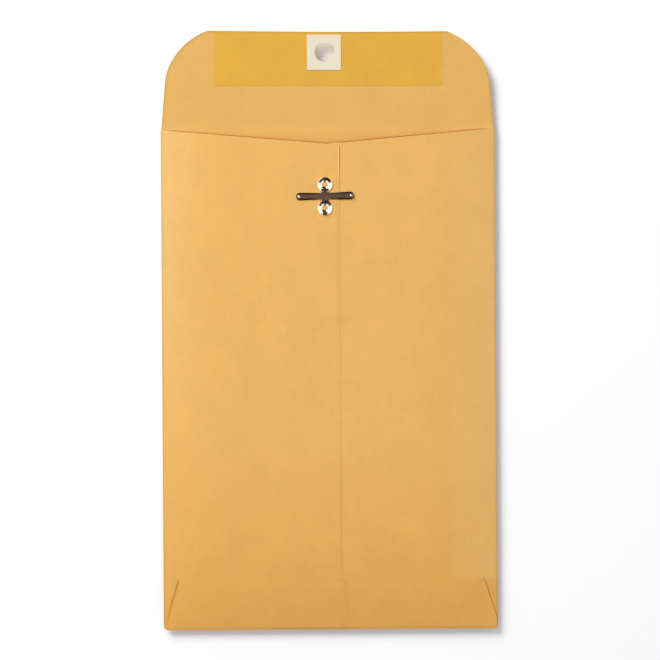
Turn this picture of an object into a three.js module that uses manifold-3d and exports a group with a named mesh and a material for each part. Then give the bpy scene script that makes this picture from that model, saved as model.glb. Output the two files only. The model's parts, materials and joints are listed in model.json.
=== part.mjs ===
// A 6 by 9 inch kraft clasp envelope, lying on its back panel with the seal flap open.
// Millimetres. +X is the envelope's width, +Y runs from the bottom fold to the seal flap, +Z is up,
// through the pocket from the back panel to the clasp. The origin is under the middle of the whole
// open envelope, on the surface that it lies on.

import * as THREE from "three";
import { mergeVertices } from "three/addons/utils/BufferGeometryUtils.js";
import Module from "manifold-3d";

const INCH = 25.4;
const degrees = THREE.MathUtils.degToRad;

// Paper, films and the air left between them
const paper = 0.16; // 28 lb kraft
const patchStock = 0.2; // tag board around the flap's hole
const glueFilm = 0.03;
const gumFilm = 0.04;
const layerGap = 0.02; // air between two layers that lie on each other
const creaseGap = 0.05; // from a moving crease's axis to the paper on each side of it

// Pocket
const bodyWidth = 6 * INCH;
const bodyLength = 9 * INCH; // from the bottom fold to the seal flap's first crease
const pocketGap = 4.8; // inside the middle of the pocket, where the folds spring it open
const sideRise = 32; // how far in from a side fold the sheets are still curving apart
const bottomRise = 36;
const mouthRise = 26; // how far below the mouth the back panel starts to rise to the crease
const riseSharpness = 2;
const riseSteps = 6;
const leftCornerRadius = 2.2; // bottom corners
const rightCornerRadius = 1;

// Front of the pocket: two side panels that overlap, and the bottom flap over both
const seamX = 5.7; // the left panel's free edge
const seamOverlap = 1 * INCH;
const seamRamp = 12; // how far the left panel takes to climb onto the right one
const mouthInset = 0.4; // from the first crease to the side panels' top corners
const mouthSlope = 5; // degrees, of the side panels' top edges
const panelBottomInset = 1;
const bottomFlapHeight = 21.8;
const bottomFlapFootInset = 0.4; // of the bottom flap's sides from the body's, at the fold
const bottomFlapLeftTaper = 6.9; // and at the flap's top
const bottomFlapRightTaper = 5.8;
const bottomFlapRightShoulder = 5; // above the fold, where the right side starts to draw in
const bottomFlapRamp = 4; // how far the bottom flap takes to step down off the seam
const seamGlueWidth = 17;
const glueMargin = 2.5; // from a glued edge to the glue

// Seal flap
const flapLength = 1.75 * INCH; // from the first crease to the top edge
const flapRootInset = 0.3; // of the flap's side corners from the body's sides
const flapShoulderInset = 2.1; // of the flap's side where its round corner starts
const flapShoulder = 21; // from the first crease to where the round corner starts
const flapTopHalf = 54.5; // half of the straight top edge
const cornerPullSide = 10; // how far the corner's curve follows the side, and then the top
const cornerPullTop = 11.4;
const cornerAngle = 20; // degrees, at which the round corner meets the top edge
const restRise = 3; // degrees that the open flap stands up from level
const holeRadius = 4.65;
const gumWidth = 105;
const gumX = 0.4; // the gum's middle
const gumStart = 19.5; // from the first crease, along the sheet
const gumTopInset = 0.35;
const patchWidth = 15.8;
const patchHeight = 16.2;
const patchX = -0.3; // of the patch's middle from the hole's

// Clasp: one tinned stamping, whose two prongs bend at their roots
const tin = 0.3;
const claspX = -1.4;
const claspFromCrease = 30.95; // from the first crease to the prongs' line
const claspClearance = 0.2; // from the clasp to the flap lying closed over it
const hubWidth = 3.6;
const hubHeight = 4.4;
const neckWidth = 2.8;
const eyeletSpacing = 10.6;
const eyeletRadius = 3.35;
const eyeletHeight = 0.75;
const eyeletSlope = 17; // degrees, of the ring's face, which falls away to its rim
const eyeletRim = 0.25; // radius of the ring's outer edge
const eyeletCrest = 0.12; // radius of the crest around its bore
const crestRadius = 1.95; // from the ring's middle to the middle of that crest
const barrelBore = 1.2; // radius
const barrelWall = 0.25;
const barrelClearance = 0.15; // between the barrel and the paper that it goes through
const clinchRadius = 2.45;
const clinchHeight = 0.3;
const prongLength = 11.2;
const prongRootHalf = 1.45;
const prongTipHalf = 1.75;
const prongRootGap = 0.06; // from the hub to a prong's round root
const bevelDepth = 0.1; // of the stamping's worn edges, through the metal
const bevelWidth = 0.32; // and across it
const slugRise = 0.09; // of the paper in a ring above the front's face
const dimpleRadius = 0.6;
const dimpleHeight = 0.3;
const dimpleInset = 1.3; // from a prong's tip to its dimple

// Heights and places that follow
const halfWidth = bodyWidth / 2;
const halfGap = pocketGap / 2;
const creaseZ = paper + halfGap; // the inner faces meet at this height along every fold
const seamLift = paper + glueFilm + 2 * layerGap; // from the right panel to the left one over it
const flapLift = paper + glueFilm + 2 * layerGap; // from a panel's underside to the bottom flap's
const claspZ = paper + pocketGap + seamLift + paper + layerGap; // the stamping's underside
const claspTop = claspZ + Math.max(eyeletHeight, tin + dimpleHeight);
const gumZ = layerGap;
const patchZ = gumZ + gumFilm + layerGap;
const flapStack = patchZ + patchStock;
const stripLength = claspTop + claspClearance + flapStack - creaseZ; // between the flap's two creases
const claspY = bodyLength - claspFromCrease;
const holeFromUpperCrease = claspFromCrease; // so that the closed hole comes down on the clasp
const hingeX = hubWidth / 2 + prongRootGap + tin / 2; // of a prong's bend from the clasp's middle
const creaseRise = degrees(restRise / 2); // at each of the two creases
const panelLength = flapLength - stripLength; // beyond the upper crease
const openReach =
  bodyLength + stripLength * Math.cos(creaseRise) + panelLength * Math.cos(2 * creaseRise);
const seamLeft = seamX - seamOverlap;
const eyeletYs = [claspY + eyeletSpacing / 2, claspY - eyeletSpacing / 2];

const trim = 1; // how far the sheets' grids run past their outlines before they are cut
const tall = 20; // taller than the pocket, for the cutters

const wasm = await Module();
wasm.setup();

// A closed three.js geometry as a solid that can be joined and cut
function solidOf(geometry) {
  const bare = geometry.clone();
  bare.deleteAttribute("normal");
  bare.deleteAttribute("uv");
  const merged = mergeVertices(bare, 1e-5);
  return new wasm.Manifold(
    new wasm.Mesh({
      numProp: 3,
      vertProperties: new Float32Array(merged.attributes.position.array),
      triVerts: new Uint32Array(merged.index.array),
    }),
  );
}

function geometryOf(solid) {
  const mesh = solid.getMesh();
  const geometry = new THREE.BufferGeometry()
    .setAttribute("position", new THREE.BufferAttribute(mesh.vertProperties, 3))
    .setIndex(new THREE.BufferAttribute(mesh.triVerts, 1))
    .toNonIndexed();
  geometry.computeVertexNormals();
  return geometry;
}

function named(name, geometry, material) {
  const mesh = new THREE.Mesh(geometry, material);
  mesh.name = name;
  return mesh;
}

// Shapes in the XY plane

function outline(points) {
  return new THREE.Shape(points.map(([x, y]) => new THREE.Vector2(x, y)));
}

function rectangle(left, bottom, right, top) {
  return outline([[left, bottom], [right, bottom], [right, top], [left, top]]);
}

function circle(x, y, radius) {
  const path = new THREE.Path();
  path.absarc(x, y, radius, 0, 2 * Math.PI, true);
  return path;
}

function slab(shape, bottom, thickness, curveSegments = 24) {
  const options = { depth: thickness, bevelEnabled: false, curveSegments };
  return new THREE.ExtrudeGeometry(shape, options).translate(0, 0, bottom);
}

// Curved sheets

// 0 at a fold and 1 where the sheet has levelled out, for a distance from the fold
function rise(distance, width) {
  const share = THREE.MathUtils.clamp(distance / width, 0, 1);
  return 1 - (1 - share) ** riseSharpness;
}

// 0 up to one place and 1 from another
function ramp(value, from, to) {
  return THREE.MathUtils.clamp((value - from) / (to - from), 0, 1);
}

// The same, but level at both ends
function easedRise(distance, width) {
  return THREE.MathUtils.smoothstep(distance, 0, width);
}

function frontBulge(x, y) {
  return rise(halfWidth - Math.abs(x), sideRise) * rise(y, bottomRise);
}

function backTop(x, y) {
  return creaseZ - halfGap * frontBulge(x, y) * easedRise(bodyLength - y, mouthRise);
}

function frontFloor(x, y) {
  return creaseZ + halfGap * frontBulge(x, y);
}

function leftPanelFloor(x, y) {
  return frontFloor(x, y) + seamLift * ramp(x, seamLeft - seamRamp, seamLeft);
}

// The bottom flap comes down to the back panel at the fold, climbs over the panels' lower edges,
// and steps down where the left panel ends.
function bottomFlapFloor(x, y) {
  const overSeam = ramp(x, seamLeft - seamRamp, seamLeft) - ramp(x, seamX, seamX + bottomFlapRamp);
  const climb = ramp(y, panelBottomInset / 3, panelBottomInset * 0.9);
  return frontFloor(x, y) + (flapLift + seamLift * overSeam) * climb;
}

const steps = (width) => Array.from({ length: riseSteps + 1 }, (_, k) => (width * k) / riseSteps);

function gridColumns() {
  const sides = steps(sideRise).flatMap((d) => [d - halfWidth, halfWidth - d]);
  const seam = [seamLeft - seamRamp, seamLeft, seamX, seamX + bottomFlapRamp];
  return [-halfWidth - trim, ...sides, ...seam, halfWidth + trim].sort((a, b) => a - b);
}

function gridRows() {
  const climb = [panelBottomInset / 3, panelBottomInset * 0.9];
  const mouth = steps(mouthRise).map((d) => bodyLength - d);
  return [-trim, ...climb, ...steps(bottomRise), ...mouth, bodyLength + trim].sort((a, b) => a - b);
}

// A sheet of even thickness over a grid of columns and rows. Every sheet is split along the same
// diagonals, so that sheets that lie on each other stay parallel.
function gridSheet(floor, thickness) {
  const columns = gridColumns();
  const rows = gridRows();
  const wide = columns.length;
  const layer = wide * rows.length;
  const position = [0, thickness].flatMap((lift) =>
    rows.flatMap((y) => columns.flatMap((x) => [x, y, floor(x, y) + lift])),
  );
  const index = [];
  const quad = (a, b, c, d) => index.push(a, b, c, a, c, d);
  for (let j = 0; j + 1 < rows.length; j++) {
    const start = j * wide;
    const end = start + wide - 1;
    for (let a = start; a < end; a++) {
      quad(layer + a, layer + a + 1, layer + a + wide + 1, layer + a + wide);
      index.push(a, a + wide + 1, a + 1, a, a + wide, a + wide + 1);
    }
    quad(start + wide, start, layer + start, layer + start + wide);
    quad(end, end + wide, layer + end + wide, layer + end);
  }
  const last = layer - wide;
  for (let a = 0; a + 1 < wide; a++) {
    quad(a, a + 1, layer + a + 1, layer + a);
    quad(last + a + 1, last + a, layer + last + a, layer + last + a + 1);
  }
  return new THREE.BufferGeometry()
    .setAttribute("position", new THREE.Float32BufferAttribute(position, 3))
    .setIndex(index);
}

function upright(shape) {
  return solidOf(slab(shape, -tall / 2, tall));
}

// A sheet cut to its outline and to the body's round corners, with holes for the clasp's barrels
// where they go through it
function cutSheet(shape, floor, thickness, pierced = false) {
  const body = upright(bodyOutline());
  let sheet = solidOf(gridSheet(floor, thickness)).intersect(upright(shape)).intersect(body);
  if (pierced) {
    for (const y of eyeletYs) sheet = sheet.subtract(barrelHole(y));
  }
  return geometryOf(sheet);
}

function barrelHole(y) {
  const radius = barrelBore + barrelWall + barrelClearance;
  const hole = new THREE.CylinderGeometry(radius, radius, tall, 24).rotateX(Math.PI / 2);
  return solidOf(hole.translate(claspX, y, 0));
}

// How far a side panel's top edge has come down at a place across the mouth
function mouthDrop(fromSide) {
  return mouthInset + Math.tan(degrees(mouthSlope)) * fromSide;
}

function bodyOutline() {
  const shape = new THREE.Shape();
  const left = leftCornerRadius;
  const right = rightCornerRadius;
  shape.moveTo(left - halfWidth, 0);
  shape.lineTo(halfWidth - right, 0);
  shape.absarc(halfWidth - right, right, right, -Math.PI / 2, 0);
  shape.lineTo(halfWidth, bodyLength);
  shape.lineTo(-halfWidth, bodyLength);
  shape.absarc(left - halfWidth, left, left, Math.PI, 1.5 * Math.PI);
  return shape;
}

// Pocket

function backPanel(material) {
  const shape = rectangle(-halfWidth, 0, halfWidth, bodyLength - creaseGap);
  return named("back_panel", cutSheet(shape, (x, y) => backTop(x, y) - paper, paper), material);
}

function sidePanel(name, side, freeX, floor, material) {
  const outer = side * halfWidth;
  const points = [
    [outer, panelBottomInset],
    [freeX, panelBottomInset],
    [freeX, bodyLength - mouthDrop(Math.abs(outer - freeX))],
    [outer, bodyLength - mouthDrop(0)],
  ];
  const shape = outline(side < 0 ? points : points.reverse());
  return named(name, cutSheet(shape, floor, paper, true), material);
}

function bottomFlap(material) {
  const foot = halfWidth - bottomFlapFootInset;
  const shape = outline([
    [-foot, 0],
    [foot, 0],
    [foot, bottomFlapRightShoulder],
    [halfWidth - bottomFlapRightTaper, bottomFlapHeight],
    [bottomFlapLeftTaper - halfWidth, bottomFlapHeight],
  ]);
  return named("bottom_flap", cutSheet(shape, bottomFlapFloor, paper), material);
}

function seamGlue(material) {
  const right = seamX - glueMargin;
  const top = bodyLength - mouthDrop(halfWidth - seamLeft) - glueMargin;
  const shape = rectangle(right - seamGlueWidth, glueMargin, right, top);
  const floor = (x, y) => frontFloor(x, y) + paper + layerGap;
  return named("seam_glue", cutSheet(shape, floor, glueFilm, true), material);
}

// The bottom flap's glue, on one side panel
function bottomGlue(name, left, right, panelFloor, material) {
  const shape = rectangle(left, glueMargin, right, bottomFlapHeight - glueMargin);
  const floor = (x, y) => panelFloor(x, y) + paper + layerGap;
  return named(name, cutSheet(shape, floor, glueFilm), material);
}

// Seal flap, in its own frame: Y from the upper crease, Z up from the gummed face

function flapOutline() {
  const root = halfWidth - flapRootInset;
  const shoulder = halfWidth - flapShoulderInset;
  const shoulderY = flapShoulder - stripLength;
  const lean = (root - shoulder) / shoulderY;
  const corner = degrees(cornerAngle);
  const nearSide = [shoulder - lean * cornerPullSide, shoulderY + cornerPullSide];
  const nearTop = [
    flapTopHalf + cornerPullTop * Math.cos(corner),
    panelLength - cornerPullTop * Math.sin(corner),
  ];
  const shape = new THREE.Shape();
  shape.moveTo(-root, creaseGap);
  shape.lineTo(root, creaseGap);
  shape.lineTo(shoulder, shoulderY);
  shape.bezierCurveTo(...nearSide, ...nearTop, flapTopHalf, panelLength);
  shape.lineTo(-flapTopHalf, panelLength);
  shape.bezierCurveTo(-nearTop[0], nearTop[1], -nearSide[0], nearSide[1], -shoulder, shoulderY);
  return shape;
}

function withHole(shape) {
  shape.holes.push(circle(claspX, holeFromUpperCrease, holeRadius));
  return shape;
}

function foldStrip(material) {
  const half = halfWidth - flapRootInset;
  const shape = rectangle(-half, creaseGap, half, stripLength - creaseGap);
  return named("flap_fold_strip", slab(shape, -paper, paper), material);
}

function sealFlap(material) {
  return named("seal_flap", slab(withHole(flapOutline()), -paper, paper, 12), material);
}

function gumStrip(material) {
  const bottom = gumStart - stripLength;
  const top = panelLength - gumTopInset;
  const shape = rectangle(gumX - gumWidth / 2, bottom, gumX + gumWidth / 2, top);
  return named("flap_gum_strip", slab(withHole(shape), gumZ, gumFilm, 12), material);
}

function holePatch(material) {
  const x = claspX + patchX;
  const y = holeFromUpperCrease;
  const across = patchWidth / 2;
  const up = patchHeight / 2;
  const shape = rectangle(x - across, y - up, x + across, y + up);
  return named("flap_hole_patch", slab(withHole(shape), patchZ, patchStock, 12), material);
}

// Clasp, in its own frame: its middle on the paper's face at the origin

function arc(x, y, radius, start, end) {
  return new THREE.EllipseCurve(x, y, radius, radius, start, end);
}

// One drawn eyelet: a ring whose face slopes from its crest to its rim, its barrel through the two
// panels, and the end clinched under them
function eyelet() {
  const wall = barrelBore + barrelWall;
  const under = -(2 * paper + glueFilm + 4 * layerGap); // the panels' inner face
  const slope = degrees(eyeletSlope);
  const turned = Math.PI / 2 - slope; // where each round edge meets the sloping face
  const rimRadius = eyeletRadius - eyeletRim;
  const crestZ = eyeletHeight - eyeletCrest;
  const faceWidth = rimRadius - crestRadius + (eyeletRim - eyeletCrest) * Math.cos(turned);
  const faceDrop = faceWidth * Math.tan(slope) + (eyeletRim - eyeletCrest) * Math.sin(turned);
  const rim = arc(rimRadius, crestZ - faceDrop, eyeletRim, 0, turned);
  const crest = arc(crestRadius, crestZ, eyeletCrest, turned, Math.PI);
  const throat = new THREE.EllipseCurve(
    wall, eyeletHeight / 3,
    barrelWall, barrelWall, Math.PI / 2, Math.PI,
  );
  const curl = new THREE.EllipseCurve(
    (clinchRadius + barrelBore) / 2, under,
    (clinchRadius - barrelBore) / 2, clinchHeight, Math.PI, 2 * Math.PI,
  );
  const profile = [
    ...rim.getPoints(4),
    ...crest.getPoints(4),
    ...throat.getPoints(3),
    ...curl.getPoints(6),
    new THREE.Vector2(wall, under),
    new THREE.Vector2(wall, 0),
    new THREE.Vector2(eyeletRadius, 0),
  ];
  return new THREE.LatheGeometry([...profile, profile[0]], 32).rotateX(Math.PI / 2);
}

// A shape drawn bevelWidth inside the stamping's edges, in sheet metal, standing on z = 0
function stamped(shape) {
  return new THREE.ExtrudeGeometry(shape, {
    depth: tin - 2 * bevelDepth,
    bevelThickness: bevelDepth,
    bevelSize: bevelWidth,
    bevelSegments: 3,
    curveSegments: 10,
  }).translate(0, 0, bevelDepth);
}

function claspBase(material) {
  const neck = neckWidth / 2 - bevelWidth;
  const hub = [hubWidth / 2 - bevelWidth, hubHeight / 2 - bevelWidth];
  const reach = (eyeletSpacing - eyeletRadius - barrelBore) / 2;
  const half = [[neck, -reach], [neck, -hub[1] - neck / 2], [hub[0], -hub[1]], [hub[0], hub[1]]];
  const right = [...half, [neck, hub[1] + neck / 2], [neck, reach]];
  const left = right.map(([x, y]) => [-x, y]).reverse();
  const plate = stamped(outline([...right, ...left]));
  const rings = [1, -1].map((side) => solidOf(eyelet().translate(0, (side * eyeletSpacing) / 2, 0)));
  const base = rings.reduce((joined, ring) => joined.add(ring), solidOf(plate));
  return named("clasp_base", geometryOf(base), material);
}

// A prong lies along +X from its bend, which is its own origin. Its root is a round bar on that axis.
function prong(name, material) {
  const tipX = prongLength - prongTipHalf;
  const rootHalf = prongRootHalf - bevelWidth;
  const shape = new THREE.Shape();
  shape.moveTo(bevelWidth, -rootHalf);
  shape.lineTo(tipX, bevelWidth - prongTipHalf);
  shape.absarc(tipX, 0, prongTipHalf - bevelWidth, -Math.PI / 2, Math.PI / 2);
  shape.lineTo(bevelWidth, rootHalf);
  const blade = stamped(shape).translate(0, 0, -tin / 2);
  const bend = new THREE.CylinderGeometry(tin / 2, tin / 2, 2 * prongRootHalf, 16);
  const dimple = new THREE.SphereGeometry(1, 14, 8)
    .scale(dimpleRadius, dimpleRadius, dimpleHeight + tin / 2)
    .translate(prongLength - dimpleInset, 0, 0);
  const under = slab(rectangle(0, -prongLength, 2 * prongLength, prongLength), -2 * tin, 2 * tin);
  const raised = solidOf(dimple).subtract(solidOf(under));
  return named(name, geometryOf(solidOf(blade).add(solidOf(bend)).add(raised)), material);
}

// The paper cut out by an eyelet, still caught in the middle of its ring
function paperSlug(name, y, material) {
  const radius = barrelBore - layerGap;
  const slug = new THREE.CylinderGeometry(radius, radius, paper, 24).rotateX(Math.PI / 2);
  return named(name, slug.translate(0, y, slugRise - paper / 2), material);
}

const kraft = new THREE.MeshStandardMaterial({ color: "#dfaa62", roughness: 0.85, metalness: 0 });
const gum = new THREE.MeshStandardMaterial({ color: "#d9a23e", roughness: 0.45, metalness: 0 });
const glue = new THREE.MeshStandardMaterial({ color: "#e8dcc0", roughness: 0.6, metalness: 0 });
const board = new THREE.MeshStandardMaterial({ color: "#efe2c6", roughness: 0.8, metalness: 0 });
const metal = new THREE.MeshStandardMaterial({ color: "#6e5a4e", roughness: 0.3, metalness: 1 });

function pocket() {
  const glueLeft = bottomFlapLeftTaper + glueMargin - halfWidth;
  const glueRight = halfWidth - bottomFlapRightTaper - glueMargin;
  const group = new THREE.Group();
  group.add(
    backPanel(kraft),
    sidePanel("right_side_panel", 1, seamLeft, frontFloor, kraft),
    sidePanel("left_side_panel", -1, seamX, leftPanelFloor, kraft),
    bottomFlap(kraft),
    seamGlue(glue),
    bottomGlue("bottom_glue_left", glueLeft, seamX, leftPanelFloor, glue),
    bottomGlue("bottom_glue_right", seamX + bottomFlapRamp, glueRight, frontFloor, glue),
  );
  return group;
}

function clasp() {
  const group = new THREE.Group();
  group.position.set(claspX, claspY, claspZ);
  group.add(claspBase(metal));
  for (const [name, side] of [["upper", 1], ["lower", -1]]) {
    group.add(paperSlug(`eyelet_paper_${name}`, (side * eyeletSpacing) / 2, kraft));
  }
  for (const [name, side] of [["left", -1], ["right", 1]]) {
    const blade = prong(`clasp_prong_${name}`, metal);
    blade.position.set(side * hingeX, 0, tin / 2);
    blade.rotation.z = side < 0 ? Math.PI : 0;
    group.add(blade);
  }
  return group;
}

// The strip turns on the first crease, and the flap on the second, at the strip's far edge
function flap() {
  const strip = new THREE.Group();
  strip.position.set(0, bodyLength, creaseZ);
  strip.rotation.x = creaseRise;
  strip.add(foldStrip(kraft));
  const panel = new THREE.Group();
  panel.position.set(0, stripLength, 0);
  panel.rotation.x = creaseRise;
  panel.add(sealFlap(kraft), gumStrip(gum), holePatch(board));
  strip.add(panel);
  return strip;
}

const envelope = new THREE.Group();
envelope.position.y = -openReach / 2;
envelope.add(pocket(), clasp(), flap());

export default envelope;
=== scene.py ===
"""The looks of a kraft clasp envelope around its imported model: its materials, light and camera.

Metres, +X to the right, +Y towards the seal flap, +Z up. The envelope lies on z = 0.
"""

import json
import math

import bmesh
import bpy
import numpy as np
from mathutils import Matrix, Vector


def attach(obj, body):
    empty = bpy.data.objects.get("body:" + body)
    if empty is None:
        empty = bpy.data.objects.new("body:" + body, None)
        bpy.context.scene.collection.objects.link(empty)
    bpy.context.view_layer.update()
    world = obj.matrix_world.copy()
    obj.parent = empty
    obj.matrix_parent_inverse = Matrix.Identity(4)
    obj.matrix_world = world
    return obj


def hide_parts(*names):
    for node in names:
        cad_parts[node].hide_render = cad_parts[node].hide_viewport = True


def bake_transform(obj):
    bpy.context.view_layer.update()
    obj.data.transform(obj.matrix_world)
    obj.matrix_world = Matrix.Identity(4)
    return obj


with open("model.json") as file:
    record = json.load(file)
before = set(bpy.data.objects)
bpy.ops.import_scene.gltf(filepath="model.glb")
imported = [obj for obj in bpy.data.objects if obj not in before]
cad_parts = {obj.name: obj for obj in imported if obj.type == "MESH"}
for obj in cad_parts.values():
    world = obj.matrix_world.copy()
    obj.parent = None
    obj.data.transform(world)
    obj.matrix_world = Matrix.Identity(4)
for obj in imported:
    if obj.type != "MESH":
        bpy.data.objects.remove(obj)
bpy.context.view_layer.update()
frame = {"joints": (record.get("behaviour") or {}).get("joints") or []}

MM = 0.001
INCH = 25.4 * MM

# Paper, films and the air between them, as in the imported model
PAPER = 0.16 * MM
PATCH_STOCK = 0.2 * MM
GLUE_FILM = 0.03 * MM
GUM_FILM = 0.04 * MM
LAYER_GAP = 0.02 * MM

# Pocket
HALF_WIDTH = 3 * INCH
BODY_LENGTH = 9 * INCH
HALF_GAP = 2.4 * MM
SIDE_RISE = 32 * MM
BOTTOM_RISE = 36 * MM
MOUTH_RISE = 26 * MM
RISE_SHARPNESS = 2.0
LEFT_CORNER_RADIUS = 2.2 * MM
RIGHT_CORNER_RADIUS = 1.0 * MM
CREASE_Z = PAPER + HALF_GAP

# Front
SEAM_X = 5.2 * MM
SEAM_LEFT = SEAM_X - INCH
SEAM_RAMP = 12 * MM
MOUTH_INSET = 0.4 * MM
MOUTH_SLOPE = math.tan(math.radians(5))
PANEL_BOTTOM = 1 * MM
BOTTOM_CLIMB = (PANEL_BOTTOM / 3, PANEL_BOTTOM * 0.9)  # of the bottom flap onto the panels
BOTTOM_FLAP_HEIGHT = 21.8 * MM
BOTTOM_FLAP_FOOT_INSET = 0.4 * MM
BOTTOM_FLAP_LEFT_TAPER = 6.9 * MM
BOTTOM_FLAP_RIGHT_TAPER = 5.8 * MM
BOTTOM_FLAP_RIGHT_SHOULDER = 5 * MM
BOTTOM_FLAP_RAMP = 4 * MM
GLUE_MARGIN = 2.5 * MM
SEAM_GLUE_WIDTH = 17 * MM
LAYER_LIFT = PAPER + GLUE_FILM + 2 * LAYER_GAP
FOOT_HALF = HALF_WIDTH - BOTTOM_FLAP_FOOT_INSET
FREE_SEAM = 30 * MM  # the stretch of the seam's edge below the mouth that stands free
SEAM_CURL = 0.26 * MM  # how far up that stretch curls
SEAM_CURL_REACH = 1.1 * MM

# Seal flap, along the sheet from the first crease
FLAP_LENGTH = 1.75 * INCH
FLAP_ROOT_HALF = HALF_WIDTH - 0.3 * MM
FLAP_SHOULDER_HALF = HALF_WIDTH - 2.1 * MM
FLAP_SHOULDER = 21 * MM
FLAP_TOP_HALF = 54.5 * MM
CORNER_PULL_SIDE = 10 * MM
CORNER_PULL_TOP = 11.4 * MM
CORNER_ANGLE = math.radians(20)
CREASE_RISE = math.radians(1.5)
TIP_SKEW = 0.45 * MM  # how much further the top edge's left end reaches than its middle
TIP_SAG = 0.35 * MM  # and how far that middle sags
HOLE_X = -1.2 * MM
HOLE_FROM_UPPER_CREASE = 30.95 * MM
HOLE_RADIUS = 4.6 * MM
GUM_HALF = 52.5 * MM
GUM_X = 0.4 * MM
GUM_START = 19.5 * MM
GUM_TOP_INSET = 0.35 * MM
PATCH_HALF = (7.75 * MM, 8.1 * MM)
PATCH_X = -0.3 * MM  # of its middle from the hole's

# Clasp
TIN = 0.3 * MM
CLASP_X = -1.4 * MM
CLASP_FROM_CREASE = 30.95 * MM
CLASP_Z = PAPER + 2 * HALF_GAP + LAYER_LIFT + PAPER + LAYER_GAP
HUB_HALF = (1.8 * MM, 2.2 * MM)
NECK_HALF = 1.4 * MM
NECK_SPAN = (HUB_HALF[1] - 0.6 * MM, HUB_HALF[1] + 0.3 * MM)  # where the hub narrows to the neck
NECK_FLARE = 0.5 * MM  # where the neck meets a ring's crest
CLIMB_START = HUB_HALF[1] - 0.3 * MM  # where the plate starts to climb to that crest
# Punch marks in the hub: (place across, place along, radius, depth)
HUB_MARKS = [
    (0, -1.2 * MM, 0.95 * MM, 0.10 * MM),
    (-0.8 * MM, 0.7 * MM, 1.0 * MM, 0.06 * MM),
    (0.8 * MM, 0.5 * MM, 1.0 * MM, 0.06 * MM),
]
EYELET_SPACING = 10.6 * MM
EYELET_RADIUS = 3.35 * MM
EYELET_HEIGHT = 0.75 * MM
EYELET_SLOPE = math.radians(15)  # of the ring's face, from its crest to its rim
EYELET_RIM = 0.12 * MM
EYELET_CREST = 0.12 * MM
CREST_RADIUS = 1.95 * MM
CREST_TURN = 155  # degrees to which the crest turns down into the bore
TO_CREST = EYELET_SPACING / 2 - CREST_RADIUS  # from the clasp's middle
BARREL_BORE = 1.2 * MM
BARREL_WALL = 0.25 * MM
BARREL_TOP = EYELET_HEIGHT / 3
CLINCH_RADIUS = 2.45 * MM
CLINCH_HEIGHT = 0.3 * MM
SLUG_GAP = 0.12 * MM  # around the paper in a ring
SLUG_RISE = 0.09 * MM
SLUG_CROWN = 0.12 * MM
PRONG_LENGTH = 11.2 * MM
PRONG_ROOT_HALF = 1.45 * MM
PRONG_TIP_HALF = 1.75 * MM
PRONG_YAW = {"left": math.radians(0.8), "right": math.radians(1.8)}
EDGE_ROLL = 0.9 * MM  # how far in from its long edges a prong rolls over
EDGE_DROP = 0.15 * MM
PRONG_CROWN = 0.24 * MM  # how far a prong's middle arches up
CROWN_START = 5 * MM
ROOT_SQUARENESS = 20  # of a prong's root on its upper side, from 2, round, upwards
PRONG_ROOT_GAP = 0.06 * MM
DIMPLE_RADIUS = 0.5 * MM
DIMPLE_HEIGHT = 0.26 * MM
DIMPLE_INSET = 1.3 * MM
DIMPLE_FALL = 1.5  # 1 makes it a plain dome, more softens its rim

# Where the creases are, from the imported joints, and what follows from that
joint_at = {joint["name"]: Vector(joint["pos_m"]) for joint in frame["joints"]}
FIRST_CREASE = joint_at["flap_first_crease"]
SECOND_CREASE = joint_at["flap_second_crease"]
STRIP_LENGTH = (SECOND_CREASE - FIRST_CREASE).length
BOTTOM_Y = FIRST_CREASE.y - BODY_LENGTH
CLASP_Y = BODY_LENGTH - CLASP_FROM_CREASE

# How finely the sheets are meshed
MESH_STEP = 1.3 * MM
PLACE_DECIMALS = 8  # of a metre, to which the places in a grid are rounded
JOIN_WITHIN = 0.0005 * MM
DEGENERATE_BELOW = 0.0001 * MM
EDGE_CROWD = 3 * MM  # within this distance of an edge the mesh grows finer towards it
EDGE_CROWD_ROWS = 6
FINE_CROWD_ROWS = 8  # instead, at the seam's edge and the flap's top edge
EDGE_STEP = 0.3 * MM  # beside the flap's cut edges
EDGE_ROWS = 3
MARGIN_STEP = 0.35 * MM  # beside the side folds and the bottom flap's sides
MARGIN_ROWS = 23
BOTTOM_MARGIN_ROWS = 9
THROAT_STEP = 0.14 * MM  # of the back panel
THROAT_REACH = 8 * MM  # below the mouth
RAMP_ROWS = 4  # down the bottom flap's step off the seam
BEND_ROWS = 4  # on each side of a crease
UPPER_BEND_STEP = 0.2 * MM
MOUTH_WEAR_ROWS = 4
CORNER_POINTS = 200  # along the seal flap's round corner
PUCKER_STEP = 0.5 * MM  # around the clasp
PUCKER_ROWS = (24, 34)  # to each side of the clasp's middle, across and along
CUTTER_LENGTH = 6 * MM

# How finely the clasp is meshed
METAL_STEP = 0.14 * MM
PLATE_COLUMNS = 27
PRONG_COLUMNS = 31
ROOT_STEPS = 6
TIP_STEPS = 16
ROUND_SEGMENTS = 96  # of the rings, and of the hole in the flap
SLUG_SEGMENTS = 48
DOME_STEPS = 10
RING_STEPS = 8
BARREL_STEPS = 7
CURL_STEPS = 12

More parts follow.
